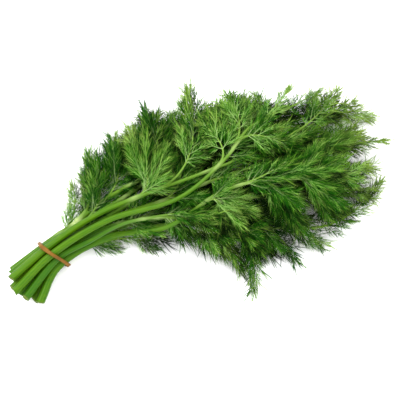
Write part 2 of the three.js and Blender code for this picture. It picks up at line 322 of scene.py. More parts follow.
@dataclass(frozen=True)
class FrondFinish:
    """The fronds: mid green in lighter and darker patches, with pale ribs.

    Where others lie over them, they are painted nearly black-green as shade. They are yellower
    towards the tips of the threads and the far end of the bunch, and brown at a few of the tips.
    """

    # Painted shade: the nearly black-green of fronds that other threads lie over
    inner: Colour = paint(0, 18, 0)
    deep: Colour = paint(14, 72, 0)
    middle: Colour = paint(64, 130, 20)
    light: Colour = paint(152, 194, 102)
    rib: Colour = paint(154, 180, 114)
    tip: Colour = paint(142, 170, 66)
    far: Colour = paint(152, 178, 80)
    dry: Colour = paint(88, 72, 40)
    patch_grain: Point = (42.0, 30.0, 30.0)
    speck_grain: Point = (5.0, 5.0, 5.0)
    middle_range: Range = (0.35, 1.15)
    light_range: Range = (0.85, 1.5)
    tip_range: Range = (0.7, 1.2)
    lit_tip_range: Range = (0.5, 1.3)
    far_range: Range = (0.5, 1.0)
    dry_range: Range = (0.9, 1.0)
    dry_patch_range: Range = (0.85, 1.2)
    # How much cover from the threads overhead brings on the painted shade
    shade_cover_range: Range = (0.15, 1.0)
    light_strength: float = 0.8
    rib_strength: float = 0.85
    tip_strength: float = 0.7
    far_strength: float = 0.6
    dry_strength: float = 0.7
    # How dark the painted shade under other threads gets
    painted_shade_strength: float = 0.9
    roughness: float = 0.6
    relief: float = 0.05
    specular: float = 0.04

    def material(self) -> bpy.types.Material:
        """Build the finish from the marks growth, tone, rib, far and cover.

        Returns:
            The material.
        """
        recipe = Recipe("frond_green")
        growth, tone, rib, far, cover = (
            recipe.mark(name) for name in ("growth", "tone", "rib", "far", "cover")
        )
        patch = recipe.noise(self.patch_grain, COARSE_DETAIL)
        speck = recipe.noise(self.speck_grain, COARSE_DETAIL)
        shade = tone * 0.5 + patch * 1.3 + speck * 0.4
        green = recipe.mix(recipe.smooth(shade, *self.middle_range), self.deep, self.middle)
        lit = recipe.smooth(shade, *self.light_range)
        green = recipe.mix(lit * self.light_strength, green, self.light)
        green = recipe.mix(rib * self.rib_strength, green, self.rib)
        tip = recipe.smooth(growth + speck * 0.3, *self.tip_range)
        tip = tip * recipe.smooth(shade, *self.lit_tip_range)
        green = recipe.mix(tip * self.tip_strength, green, self.tip)
        far = far * recipe.smooth(growth, *self.far_range)
        green = recipe.mix(far * self.far_strength, green, self.far)
        dry = recipe.smooth(growth, *self.dry_range)
        dry = dry * recipe.smooth(speck + patch, *self.dry_patch_range)
        green = recipe.mix(dry * self.dry_strength, green, self.dry)
        # Painted shade where other threads lie over these ones
        hidden = recipe.smooth(cover, *self.shade_cover_range)
        green = recipe.mix(hidden * self.painted_shade_strength, green, self.inner)
        roughness = self.roughness + speck * 0.2
        return recipe.finish(green, roughness, speck, self.relief, self.specular)


@dataclass(frozen=True)
class RubberFinish:
    """Orange-brown rubber, dull and a little uneven; its sides and groove get painted shade."""

    lit: Colour = paint(117, 81, 12)
    worn: Colour = paint(96, 62, 7)
    # The colour of the painted shade at the band's sides and in its groove
    edge: Colour = paint(64, 35, 5)
    cloud_grain: Point = (7.0, 7.0, 7.0)
    fine_grain: Point = (0.7, 0.7, 0.7)
    worn_range: Range = (0.35, 0.65)
    edge_strength: float = 0.75
    roughness: float = 0.5
    relief: float = 0.08
    specular: float = 0.2

    def material(self) -> bpy.types.Material:
        """Build the finish from the mark for the painted shade at the band's sides and groove.

        Returns:
            The material.
        """
        recipe = Recipe("band_rubber")
        cloud = recipe.noise(self.cloud_grain)
        grain = recipe.noise(self.fine_grain, COARSE_DETAIL)
        brown = recipe.mix(recipe.smooth(cloud, *self.worn_range), self.lit, self.worn)
        # Painted shade at the band's sides and in its groove
        brown = recipe.mix(recipe.mark("edge") * self.edge_strength, brown, self.edge)
        roughness = self.roughness + grain * 0.3
        return recipe.finish(brown, roughness, grain, self.relief, self.specular)


@dataclass(frozen=True)
class FloorFinish:
    """A plain pale floor with the faintest mottling."""

    bright: Colour = paint(250, 250, 250)
    soft: Colour = paint(247, 247, 247)
    cloud_grain: Point = (260.0, 260.0, 260.0)
    roughness: float = 0.85

    def material(self) -> bpy.types.Material:
        """Build the finish.

        Returns:
            The material.
        """
        recipe = Recipe("pale_floor")
        cloud = recipe.noise(self.cloud_grain, COARSE_DETAIL)
        white = recipe.mix(cloud, self.bright, self.soft)
        return recipe.finish(white, self.roughness - cloud * 0.1)


# Meshes


@dataclass
class Surface:
    """Corners and faces gathered for one piece, with the values that its finish reads."""

    corners: list[Array] = field(default_factory=list)
    faces: list[Array] = field(default_factory=list)
    marks: dict[str, list[Array]] = field(default_factory=dict)
    count: int = 0

    def add(self, corners: Array, faces: Array, **marks: Array | float) -> None:
        """Add a closed form.

        Args:
            corners: Its corners, in millimetres.
            faces: Three corner numbers a face.
            **marks: A value for each corner, or one for all, by the mark's name. Every form of
                a piece has the same marks.
        """
        self.faces.append(faces + self.count)
        self.corners.append(corners)
        for name, values in marks.items():
            spread = np.broadcast_to(np.asarray(values, dtype=np.float32), len(corners))
            self.marks.setdefault(name, []).append(spread)
        self.count += len(corners)

    def piece(self, name: str, material: bpy.types.Material, slot: Slot) -> bpy.types.Object:
        """Make the Blender object, in metres.

        Args:
            name: The piece's name.
            material: Its finish.
            slot: The record's slot that it takes its finish from; not used.

        Returns:
            The object, riding on the bunch's body.
        """
        corners = np.concatenate(self.corners).astype(np.float32) * METRES
        faces = np.concatenate(self.faces).astype(np.int32)
        mesh = bpy.data.meshes.new(name)
        mesh.vertices.add(len(corners))
        mesh.vertices.foreach_set("co", corners.ravel())
        mesh.loops.add(faces.size)
        mesh.loops.foreach_set("vertex_index", faces.ravel())
        mesh.polygons.add(len(faces))
        mesh.polygons.foreach_set("loop_start", np.arange(0, faces.size, 3, dtype=np.int32))
        mesh.polygons.foreach_set("use_smooth", np.ones(len(faces), dtype=bool))
        for mark, values in self.marks.items():
            layer = mesh.attributes.new(mark, "FLOAT", "POINT")
            layer.data.foreach_set("value", np.concatenate(values))
        mesh.update(calc_edges=True)
        mesh.materials.append(material)
        piece = bpy.data.objects.new(name, mesh)
        bpy.context.scene.collection.objects.link(piece)
        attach(piece, BODY)
        log.info("%s: %d faces", name, len(faces))
        return piece


def tube_faces(rings: int, sides: int, capped: bool) -> Array:
    """List the faces of a tube whose corners are numbered ring by ring, then its tip.

    Args:
        rings: How many rings it has.
        sides: How many corners a ring has.
        capped: Whether its first ring is closed by a flat face.

    Returns:
        Three corner numbers a face, turned outwards.
    """
    k = np.arange(sides)
    after = (k + 1) % sides
    faces = []
    for ring in range(rings - 1):
        low, high = ring * sides, (ring + 1) * sides
        faces.append(np.stack([low + k, low + after, high + after], 1))
        faces.append(np.stack([low + k, high + after, high + k], 1))
    last = (rings - 1) * sides
    faces.append(np.stack([last + k, last + after, np.full(sides, rings * sides)], 1))
    if capped:
        fan = np.arange(1, sides - 1)
        faces.append(np.stack([np.zeros_like(fan), fan + 1, fan], 1))
    return np.concatenate(faces)


def tube_corners(
    middle: Array, along: Array, radii: Array, sides: int, flatness: float = 1.0
) -> Array:
    """Lay rings of corners round a line.

    Args:
        middle: The rings' middles.
        along: The line's direction at each.
        radii: The radius of each corner, or of each ring.
        sides: How many corners a ring has.
        flatness: The rings' height against their width.

    Returns:
        The corners, ring by ring.
    """
    up = square_to(UP, along)
    side = np.cross(up, along)
    turn = angles_round(sides)[:, None]
    ring = np.cos(turn) * side[:, None] + flatness * np.sin(turn) * up[:, None]
    return middle[:, None] + radii[..., None] * ring


def ring_values(values: Array | Sequence[float], sides: int, tip: float) -> Array:
    """Give each corner of a tube the value of its ring, and the tip its own."""
    return np.append(np.repeat(values, sides), tip)


# Where the stems and leaf stalks run, by the same rules as the solid model


@dataclass(frozen=True)
class StemPlan:
    """One stem: its place in the bundle, its route beyond the band, and its leaves.

    A leaf is the share of the way along the stem where it grows, and the place of its tip.
    """

    row: int
    place: float
    back: float
    route: tuple[Point, ...]
    leaves: tuple[Leaf, ...]


STEM_PLANS = (
    StemPlan(
        1, 1.5, 36,
        ((22, 16, 16), (52, 23, 26), (85, 24, 38), (120, 22, 43), (160, 30, 36), (200, 42, 24)),
        ((0.2, 37, 51, 16), (0.3, 57, 70, 26), (0.42, 82, 80, 18), (0.54, 123, 86, 22),
         (0.74, 177, 72, 16), (0.97, 213, 70, 14)),
    ),
    StemPlan(
        3, 0.5, 38,
        ((40, 9, 36), (83, 6, 50), (125, 4, 54), (170, 8, 46), (215, 16, 34), (250, 26, 22)),
        ((0.4, 92, 62, 44), (0.46, 154, 86, 46), (0.6, 190, 54, 40), (0.72, 237, 12, 36),
         (0.84, 277, 47, 20), (0.97, 286, 34, 14)),
    ),
    StemPlan(
        3, -0.5, 39,
        ((50, 0, 40), (105, -8, 52), (149, 5, 61), (177, 24, 58), (200, 34, 46), (222, 40, 34)),
        ((0.55, 149, 46, 60), (0.62, 180, 61, 54), (0.64, 207, 2, 54), (0.8, 230, 54, 38),
         (0.97, 259, 49, 26)),
    ),
    StemPlan(
        2, -1, 33,
        ((30, -5, 25), (60, -6, 37), (90, -13, 39), (115, -23, 32), (150, -35, 24)),
        ((0.58, 146, -28, 44), (0.64, 121, -44, 26), (0.82, 158, -56, 24),
         (0.97, 173, -40, 30)),
    ),
    StemPlan(
        1, -1.5, 24,
        ((45, -5, 18), (90, -21, 35), (134, -17, 54), (164, -20, 60), (195, -27, 54),
         (236, -34, 40)),
        ((0.54, 133, -53, 24), (0.66, 199, -15, 62), (0.7, 194, -62, 30), (0.8, 249, -15, 40),
         (0.86, 220, -58, 26), (0.97, 267, -32, 24)),
    ),
    StemPlan(
        0, -1, 28,
        ((45, -4, 12), (95, -16, 24), (134, -34, 28), (175, -50, 20), (208, -60, 12)),
        ((0.2, 92, -20, 10), (0.56, 140, -72, 12), (0.67, 139, -94, 9), (0.76, 183, -79, 5),
         (0.84, 209, -73, 6), (0.97, 278, -42, 10)),
    ),
    StemPlan(
        0, 0, 37,
        ((45, 2, 9), (95, 2, 12), (145, -4, 12), (195, -10, 10), (240, -18, 9)),
        ((0.24, 69, 12, 6), (0.34, 90, -4, 6), (0.5, 153, 24, 8), (0.6, 164, -62, 5),
         (0.72, 237, 20, 8), (0.84, 239, -53, 5), (0.97, 275, -26, 8)),
    ),
    StemPlan(
        0, 1, 35,
        ((40, 16, 9), (85, 28, 12), (130, 40, 12), (170, 50, 10)),
        ((0.32, 48, 61, 6), (0.48, 100, 84, 6), (0.64, 139, 86, 5), (0.8, 175, 59, 6),
         (0.97, 204, 75, 5)),
    ),
    StemPlan(
        1, -0.5, 36,
        ((50, 2, 20), (100, -12, 30), (150, -20, 32), (200, -26, 26), (236, -30, 18)),
        ((0.36, 108, 7, 12), (0.46, 104, -34, 14), (0.58, 163, -10, 30), (0.7, 193, -38, 20),
         (0.84, 246, -35, 20), (0.97, 264, -48, 10)),
    ),
    StemPlan(
        1, 0.5, 37,
        ((45, 10, 20), (90, 18, 22), (140, 24, 24), (190, 32, 20), (235, 38, 14)),
        ((0.44, 119, 63, 18), (0.58, 171, 28, 26), (0.7, 214, 55, 14), (0.86, 272, 29, 12),
         (0.97, 298, 16, 8)),
    ),
    StemPlan(
        2, 0, 40,
        ((50, 4, 30), (100, 0, 38), (150, 0, 42), (200, -2, 36), (246, -4, 26)),
        ((0.48, 127, 30, 46), (0.6, 168, -6, 46), (0.72, 221, -24, 34), (0.84, 273, 3, 24),
         (0.97, 295, -10, 14)),
    ),
    StemPlan(
        2, 1, 37,
        ((40, 13, 27), (80, 22, 28), (115, 36, 26), (150, 48, 22)),
        ((0.34, 65, 66, 24), (0.54, 111, 82, 26), (0.64, 143, 39, 38), (0.82, 180, 63, 24),
         (0.97, 197, 75, 14)),
    ),
)


@dataclass(frozen=True)
class BundleRules:
    """The sizes that the solid model is built with, in millimetres."""

    pitch: float = 7.3
    row_rise: float = 5.9
    cut_side: float = -17.0
    cut_spread: float = 1.55
    cut_height: float = 3.7
    cut_rise: float = 1.15
    cut_radius: float = 3.3
    stem_radius: float = 3.2
    stem_end_radius: float = 0.75
    tie_share: float = 0.12
    taper_power: float = 1.25
    steps_per_stretch: int = 2
    spine_root_radius: float = 1.0
    spine_end_radius: float = 0.55
    spine_forward: float = 0.42
    spine_lift: float = 0.05
    tip_room: float = 8.0
    tip_reach: float = 3.5
    spine_gap: float = 0.5
    floor_gap: float = 0.1
    stem_samples: int = 180
    spine_samples: int = 50
    lifts: tuple[float, ...] = (0, 4, -4, 8, -8, 12, -12, 16)
    shifts: tuple[float, ...] = (0, 6, -6, 12, -12)
    band_thickness: float = 2.2
    band_width: float = 3.0
    band_gap: float = 0.8
    band_lean: float = 5.0
    band_slope: float = 0.34
    band_rise: float = 0.04
    band_turn: float = 0.5

    @property
    def first_row(self) -> float:
        """Give the height of the lowest row's middle."""
        return self.band_thickness + self.band_gap + self.stem_radius

    def tie(self, row: float, place: float) -> Array:
        """Give the point where a stem passes through the band."""
        return np.array([0.0, place * self.pitch, self.first_row + row * self.row_rise])

    def stem_radius_at(self, share: Array) -> Array:
        """Give a stem's radius.

        Args:
            share: Shares of the way along the stem.

        Returns:
            The radius at each.
        """
        below = self.cut_radius + (self.stem_radius - self.cut_radius) * share / self.tie_share
        left = np.clip((1 - share) / (1 - self.tie_share), 0, 1)
        above = self.stem_end_radius
        above = above + (self.stem_radius - above) * left**self.taper_power
        return np.where(share < self.tie_share, below, above)

    def spine_radius_at(self, share: Array) -> Array:
        """Give a leaf stalk's radius at shares of its length."""
        return self.spine_root_radius + (self.spine_end_radius - self.spine_root_radius) * share


RULES = BundleRules()


class StemLine:
    """The smooth line through the points that a stem passes."""

    def __init__(self, plan: StemPlan) -> None:
        """Lay out the line.

        Args:
            plan: The stem's plan.
        """
        tie = RULES.tie(plan.row, plan.place)
        cut = np.array([
            -plan.back,
            RULES.cut_side + RULES.cut_spread * tie[1],
            RULES.cut_height + RULES.cut_rise * (tie[2] - RULES.first_row),
        ])
        self.plan = plan
        self.points = np.vstack([cut, tie, np.array(plan.route, dtype=float)])

    def at(self, share: Array) -> Array:
        """Give points of the line.

        Args:
            share: Shares of the way, from point to point.

        Returns:
            A point for each.
        """
        points = self.points
        padded = np.vstack([2 * points[0] - points[1], points, 2 * points[-1] - points[-2]])
        way = np.clip(np.asarray(share, dtype=float), 0, 1) * (len(points) - 1)
        stretch = np.minimum(way.astype(int), len(points) - 2)
        w = (way - stretch)[..., None]
        before, start, end, after = (padded[stretch + i] for i in range(4))
        leave, arrive = (end - before) / 2, (after - start) / 2
        square, cube = w**2, w**3
        return (
            start + leave * w
            + (3 * (end - start) - 2 * leave - arrive) * square
            + (2 * (start - end) + leave + arrive) * cube
        )

    def heading(self, share: Array) -> Array:
        """Give the line's direction.

        Args:
            share: Shares of the way.

        Returns:
            A direction for each, one long.
        """
        near = 1e-4
        share = np.asarray(share, dtype=float)
        return unit(self.at(np.minimum(share + near, 1)) - self.at(np.maximum(share - near, 0)))

    def axis_point(self, share: float) -> Array:
        """Give a point of the solid stem's axis, which runs straight from ring to ring.

        Args:
            share: Share of the way along the stem.

        Returns:
            The point.
        """
        steps = RULES.steps_per_stretch * (len(self.points) - 1)
        ring = min(int(share * steps), steps - 1)
        start, end = self.at(ring / steps), self.at((ring + 1) / steps)
        return start + (end - start) * (share * steps - ring)


@dataclass
class Sprigs:
    """Many curved shoots of one order, each with a start, a middle and an end to bend it by.

    Attributes:
        start: Where each leaves the shoot that carries it.
        middle: The point that it bends towards.
        end: Its tip.
        normal: The direction square to the plane in which it divides.
        growth: How far out on the leaf its start and its tip are, from 0 to 1.
        tone: How light it is, from -1 to 1.
        bare: Share of its length, from its start, that carries nothing.
        full: How many times longer than usual the shoots are that it carries.
    """

    start: Array
    middle: Array
    end: Array
    normal: Array
    growth: Array
    tone: Array
    bare: Array
    full: Array

    def at(self, share: Array) -> Array:
        """Give a point of each shoot, at its own share of the way."""
        return curve_point(self.start, self.middle, self.end, share)

    def heading(self, share: Array) -> Array:
        """Give each shoot's direction at its own share of the way."""
        return curve_heading(self.start, self.middle, self.end, share)

    def pick(self, rows: Array) -> "Sprigs":
        """Take some of the shoots, by number."""
        return Sprigs(*(values[rows] for values in vars(self).values()))


def join_sprigs(groups: list[Sprigs]) -> Sprigs:
    """Put groups of shoots into one."""
    columns = zip(*(vars(group).values() for group in groups))
    return Sprigs(*(np.concatenate(column) for column in columns))


def leaf_stalk(line: StemLine, leaf: Leaf, lift: float, shift: float) -> LeafStalk:
    """Bend one leaf stalk from its stem to just short of the leaf's tip.

    Args:
        line: The stem's line.
        leaf: The leaf's share of the stem and its tip.
        lift: How far the tip is raised to clear the others.
        shift: How far it is moved aside.

    Returns:
        The stalk's root, the point it bends towards, and its end.
    """
    share, x, y, z = leaf
    root = line.axis_point(share)
    tip = np.array([x, y, z + lift], dtype=float)
    reach = np.linalg.norm(tip - root)
    tip = tip + unit(np.cross(tip - root, UP)) * shift
    end = tip + (root - tip) * RULES.tip_room / reach
    middle = root + line.heading(share) * reach * RULES.spine_forward
    middle[2] += reach * RULES.spine_lift
    return root, middle, end


class Bundle:
    """Every stem's line and every leaf's stalk, in the order of the solid model's nodes."""

    def __init__(self) -> None:
        """Lay out the stems, then the leaf stalks clear of the other stems and theirs."""
        self.lines = [StemLine(plan) for plan in STEM_PLANS]
        shares = np.linspace(0, 1, RULES.stem_samples + 1)
        self.taken = [
            [(line.at(shares), RULES.stem_radius_at(shares))] for line in self.lines
        ]
        self.stalks = [
            [self._clear_stalk(owner, leaf) for leaf in line.plan.leaves]
            for owner, line in enumerate(self.lines)
        ]

    def _clear_stalk(self, owner: int, leaf: Leaf) -> LeafStalk:
        """Find the first bend of a leaf stalk that is clear of the others.

        Args:
            owner: The stem's number.
            leaf: The leaf.

        Returns:
            The stalk's root, bend and end.
        """
        others = [pair for i, pairs in enumerate(self.taken) if i != owner for pair in pairs]
        places = np.concatenate([place for place, _ in others])
        radii = np.concatenate([radius for _, radius in others])
        shares = np.linspace(0, 1, RULES.spine_samples + 1)
        own = RULES.spine_radius_at(shares)
        lowest = RULES.floor_gap + RULES.spine_root_radius
        tries = [(lift, shift) for shift in RULES.shifts for lift in RULES.lifts]
        first = None
        for lift, shift in tries:
            stalk = leaf_stalk(self.lines[owner], leaf, lift, shift)
            first = first or stalk
            points = curve_point(*stalk, shares)
            gaps = np.linalg.norm(points[:, None] - places[None], axis=-1)
            room = own[:, None] + radii[None] + RULES.spine_gap
            if points[:, 2].min() > lowest and (gaps >= room).all():
                break
        else:
            stalk = first
            points = curve_point(*stalk, shares)
        self.taken[owner].append((points, own))
        return stalk


def extended(stalk: LeafStalk) -> LeafStalk:
    """Carry a leaf stalk on towards the leaf's tip, which the last shoots reach."""
    start, middle, end = stalk
    return start, middle, end + unit(end - middle) * RULES.tip_reach


# Stalks


@dataclass(frozen=True)
class CutRing:
    """A ring of a stem's cut face.

    Attributes:
        size: Its size against the rim's.
        depth: How far it is sunk.
        cut: How much it looks cut, from 0 to 1.
        pith: How much it looks like pith, from 0 to 1.
    """

    size: float
    depth: float
    cut: float
    pith: float


# From the rim to the middle
CUT_FACE = (
    CutRing(1.0, 0.0, 1.0, 0.0), CutRing(0.9, -0.25, 1.0, 0.0), CutRing(0.74, -0.1, 1.0, 0.35),
    CutRing(0.5, 0.5, 0.6, 0.9), CutRing(0.25, 0.9, 0.8, 0.6), CutRing(0.0, 1.0, 0.8, 0.5),
)


@dataclass
class Stalk:
    """The stem of one leafy stem, with the stalks of its leaves."""

    number: int
    line: StemLine
    leaf_stalks: list[LeafStalk]
    first_seed: int = 40
    tone_reach: float = 0.8
    steps: int = 96
    sides: int = 24
    ridges: int = 9
    ridge_depth: float = 0.035
    ridge_drift: float = 0.5
    ridge_swings: float = 7.0
    ovality: float = 0.05
    cut_slant: float = 0.28
    joint_swelling: float = 0.16
    joint_length: float = 4.0
    pale_length: float = 4.5
    pale_joints: tuple[tuple[int, int], ...] = ((1, 1), (6, 0))
    faint_joint: float = 0.28
    slimming: float = 0.24
    slimming_shares: Range = (0.14, 0.5)
    leaf_steps: int = 18
    leaf_sides: int = 8
    leaf_flatness: float = 0.8
    leaf_stretch: float = 0.55
    root_radius: float = 1.2
    end_radius: float = 0.3
    radius_bend: float = 0.7
    root_swelling: float = 0.35
    root_length: float = 5.0
    sheath_flare: float = 1.9
    sheath_length: float = 13.0

    def build(self, material: bpy.types.Material) -> bpy.types.Object:
        """Make the piece.

        Args:
            material: The stalk finish.

        Returns:
            The piece, which stands for its leafy stem together with the fronds.
        """
        self.rng = np.random.default_rng(self.first_seed + self.number)
        self.tone = self.rng.uniform(-self.tone_reach, self.tone_reach)
        surface = Surface()
        self._add_stem(surface)
        for place, stalk in enumerate(self.leaf_stalks):
            self._add_leaf_stalk(surface, place, stalk)
        piece = surface.piece(f"leafy_stem_{self.number}_stalk", material, Slot.DILL)
        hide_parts(f"leafy_stem_{self.number}")
        return piece

    def _add_stem(self, surface: Surface) -> None:
        """Add the ridged stem, swollen and pale at its joints, with its cut end.

        Args:
            surface: The piece's surface.
        """
        share = np.linspace(0, 1, self.steps + 1)[:-1]
        middle, along = self.line.at(share), self.line.heading(share)
        joint, pale = np.zeros(len(share)), np.zeros(len(share))
        for place, (root, _, _) in enumerate(self.leaf_stalks):
            distance = np.linalg.norm(middle - root, axis=1)
            joint = np.maximum(joint, bump(distance, self.joint_length))
            pale = np.maximum(pale, self._paleness(place) * bump(distance, self.pale_length))
        turn = angles_round(self.sides)
        drift = self.ridge_drift * np.sin(share * self.ridge_swings + self.number)
        ridge = np.cos(self.ridges * turn + drift[:, None])
        oval = 1 + self.ovality * np.cos(2 * turn + self.number)
        low, high = self.slimming_shares
        slim = 1 - self.slimming * np.clip((share - low) / (high - low), 0, 1)
        radius = RULES.stem_radius_at(share) * slim * (1 + self.joint_swelling * joint)
        radii = radius[:, None] * (1 + self.ridge_depth * ridge) * oval
        corners = tube_corners(middle, along, radii, self.sides)
        slant = self.cut_slant * np.cos(turn - self.rng.uniform(0, FULL_TURN)) * radius[0]
        corners[0] += slant[:, None] * along[0]
        surface.add(
            np.vstack([corners.reshape(-1, 3), self.line.at(1.0)]),
            tube_faces(len(share), self.sides, capped=False),
            tone=self.tone, ridge=np.append(ridge, 0.0),
            stretch=ring_values(share, self.sides, 1.0), pale=ring_values(pale, self.sides, 0.0),
            cut=0.0, pith=0.0,
        )
        self._add_cut(surface, corners[0], middle[0], along[0])

    def _add_cut(self, surface: Surface, rim: Array, middle: Array, along: Array) -> None:
        """Add the cut face, with a firm rim and a sunken pale middle.

        Args:
            surface: The piece's surface.
            rim: The stem's first ring.
            middle: The middle of that ring.
            along: The stem's direction there.
        """
        *rings, centre = CUT_FACE
        corners = [middle + (rim - middle) * ring.size + along * ring.depth for ring in rings]
        corners.append(middle + along * centre.depth)
        surface.add(
            np.vstack(corners), tube_faces(len(rings), self.sides, capped=False)[:, ::-1],
            tone=self.tone, ridge=0.0, stretch=0.0, pale=0.0,
            cut=ring_values([ring.cut for ring in rings], self.sides, centre.cut),
            pith=ring_values([ring.pith for ring in rings], self.sides, centre.pith),
        )

    def _is_pale(self, place: int) -> bool:
        """Say whether the joint of one of the leaves, from the lowest up, is pale."""
        return (self.number, place) in self.pale_joints

    def _paleness(self, place: int) -> float:
        """Say how pale the joint of one of the leaves is."""
        return 1.0 if self._is_pale(place) else self.faint_joint

    def _add_leaf_stalk(self, surface: Surface, place: int, stalk: LeafStalk) -> None:
        """Add one leaf stalk, thick and pale at its root and pointed at its end.

        Args:
            surface: The piece's surface.
            place: The leaf's number, from the lowest up.
            stalk: The leaf stalk's root, bend and end.
        """
        curve = extended(stalk)
        share = np.linspace(0, 1, self.leaf_steps + 1)[:-1]
        middle, along = curve_point(*curve, share), curve_heading(*curve, share)
        distance = np.linalg.norm(middle - curve[0], axis=1)
        root = bump(distance, self.root_length)
        radius = self.root_radius + (self.end_radius - self.root_radius) * share**self.radius_bend
        radius = radius * (1 + self.root_swelling * root)
        if self._is_pale(place):
            radius = radius + self.sheath_flare * bump(distance, self.sheath_length)
        corners = tube_corners(middle, along, radius[:, None], self.leaf_sides, self.leaf_flatness)
        stretch = self.leaf_stretch + (1 - self.leaf_stretch) * share
        surface.add(
            np.vstack([corners.reshape(-1, 3), curve[2]]),
            tube_faces(len(share), self.leaf_sides, capped=True),
            tone=self.tone, ridge=0.0, stretch=ring_values(stretch, self.leaf_sides, 1.0),
            pale=ring_values(self._paleness(place) * root, self.leaf_sides, 0.0),
            cut=0.0, pith=0.0,
        )


# Fronds


# How broad single leaves are against the others, by stem and by leaf from the lowest up
BREADTHS = {
    (1, 0): 0.75, (1, 1): 0.7, (1, 4): 0.8, (2, 1): 0.7, (2, 4): 0.62, (2, 5): 0.8, (3, 4): 0.7,
    (4, 3): 1.9, (5, 2): 1.25, (5, 4): 1.45, (6, 0): 0.6, (6, 2): 0.6, (6, 3): 1.0, (6, 4): 1.3,
    (6, 5): 0.5, (7, 5): 1.45, (8, 0): 0.75, (9, 2): 1.6, (9, 3): 1.6, (10, 2): 1.8,
    (10, 3): 0.85, (10, 4): 0.75, (11, 4): 0.8,
}

# The share of single leaf stalks, from the stem, that carries nothing
BARE_SHARES = {
    (3, 0): 0.45, (3, 1): 0.42, (3, 2): 0.34, (5, 4): 0.0, (6, 0): 0.72, (6, 5): 0.12,
}


@dataclass(frozen=True)
class Division:
    """How shoots of one order carry the next.

    Attributes:
        first: Share of a shoot at which its first pair grows.
        last: Share at which its last pair grows.
        spacing: Distance between pairs.
        fewest: Smallest number of pairs.
        root_angle: Angle of the first pair to the shoot, in degrees.
        tip_angle: Angle of the last pair.
        angle_spread: How far an angle strays.
        roll: How far a pair turns out of the plane of its shoot, in degrees.
        root_length: Length of the first pair, as a share of the shoot's.
        tip_length: Length of the last pair, likewise.
        limits: Shortest and longest that a new shoot may be.
        sweep: How strongly a new shoot bends forward.
        droop: How far its tip sinks, as a share of its length.
        growth: Share of what is left of the way out that it covers.
        outer: How much longer shoots are at the leaf's outer end.
        tone_spread: How far their tones stray.
        step_spread: How far a pair strays along its shoot, as a share of the spacing.
        length_bend: How soon lengths fall from the root's to the tip's.
        length_spread: Least and most that chance makes of a length.
        outer_power: How late the extra length at the outer end sets in.
    """

    first: float
    last: float
    spacing: float
    fewest: int
    root_angle: float
    tip_angle: float
    angle_spread: float
    roll: float
    root_length: float
    tip_length: float
    limits: Range
    sweep: float
    droop: float
    growth: float
    outer: float
    tone_spread: float
    step_spread: float = 0.3
    length_bend: float = 0.8
    length_spread: Range = (0.78, 1.18)
    outer_power: int = 3

    def grow(self, shoots: Sprigs, rng: np.random.Generator) -> Sprigs:
        """Grow the next order of shoots.

        Args:
            shoots: The shoots that carry them.
            rng: The source of chance.

        Returns:
            The new shoots.
        """
        spans = np.linalg.norm(shoots.middle - shoots.start, axis=1)
        spans = spans + np.linalg.norm(shoots.end - shoots.middle, axis=1)
        first = np.maximum(self.first, shoots.bare)
        pairs = np.rint(spans * (self.last - first) / self.spacing).astype(int)
        pairs = np.maximum(pairs, self.fewest)
        owner = np.repeat(np.arange(len(spans)), 2 * pairs)
        count = len(owner)
        place = np.arange(count) - np.repeat(np.cumsum(2 * pairs) - 2 * pairs, 2 * pairs)
        sign = (1 - 2 * (place % 2))[:, None]
        stray = rng.uniform(-self.step_spread, self.step_spread, count)
        step = np.clip((place // 2 + stray) / np.maximum(pairs[owner] - 1, 1), 0, 1)
        carrier = shoots.pick(owner)
        share = first[owner] + (self.last - first[owner]) * step
        root, along = carrier.at(share), carrier.heading(share)
        normal = square_to(carrier.normal, along)
        across = np.cross(normal, along)
        roll = np.radians(rng.uniform(-self.roll, self.roll, count))[:, None]
        outward = sign * np.cos(roll) * across + np.sin(roll) * normal
        angle = self.root_angle + (self.tip_angle - self.root_angle) * step
        angle = np.radians(angle + rng.normal(0, self.angle_spread, count))[:, None]
        leave = np.cos(angle) * along + np.sin(angle) * outward
        fall = (1 - step) ** self.length_bend
        length = self.tip_length + (self.root_length - self.tip_length) * fall
        length = np.clip(spans[owner] * length, *self.limits)
        length = length * rng.uniform(*self.length_spread, count)
        low, high = carrier.growth[:, 0], carrier.growth[:, 1]
        begin = low + (high - low) * share
        length = length * carrier.full * (1 + self.outer * begin**self.outer_power)
        length = length[:, None]
        middle = root + leave * length / 2
        end = middle + unit(leave + self.sweep * along) * length / 2
        end[:, 2] -= self.droop * length[:, 0]
        twist = np.radians(rng.uniform(-self.roll, self.roll, count))[:, None]
        plane = square_to(normal, leave)
        plane = np.cos(twist) * plane + np.sin(twist) * np.cross(leave, plane)
        growth = np.stack([begin, begin + (1 - begin) * self.growth], 1)
        tone = np.clip(carrier.tone + rng.normal(0, self.tone_spread, count), -1, 1)
        return Sprigs(root, middle, end, plane, growth, tone, np.zeros(count), np.ones(count))


PINNAE = Division(
    first=0.14, last=0.96, spacing=5.2, fewest=5, root_angle=44, tip_angle=22, angle_spread=6,
    roll=42, root_length=0.44, tip_length=0.1, limits=(6, 32), sweep=0.35, droop=0.05,
    growth=0.5, outer=0.0, tone_spread=0.3,
)
PINNULES = Division(
    first=0.12, last=0.93, spacing=2.5, fewest=3, root_angle=36, tip_angle=20, angle_spread=5,
    roll=48, root_length=0.5, tip_length=0.24, limits=(4, 14), sweep=0.5, droop=0.04,
    growth=0.5, outer=0.0, tone_spread=0.35,
)
THREADS = Division(
    first=0.15, last=0.85, spacing=1.6, fewest=2, root_angle=28, tip_angle=17, angle_spread=5,
    roll=48, root_length=0.75, tip_length=0.6, limits=(3.8, 9.5), sweep=0.45, droop=0.03,
    growth=1.0, outer=0.4, tone_spread=0.75,
)


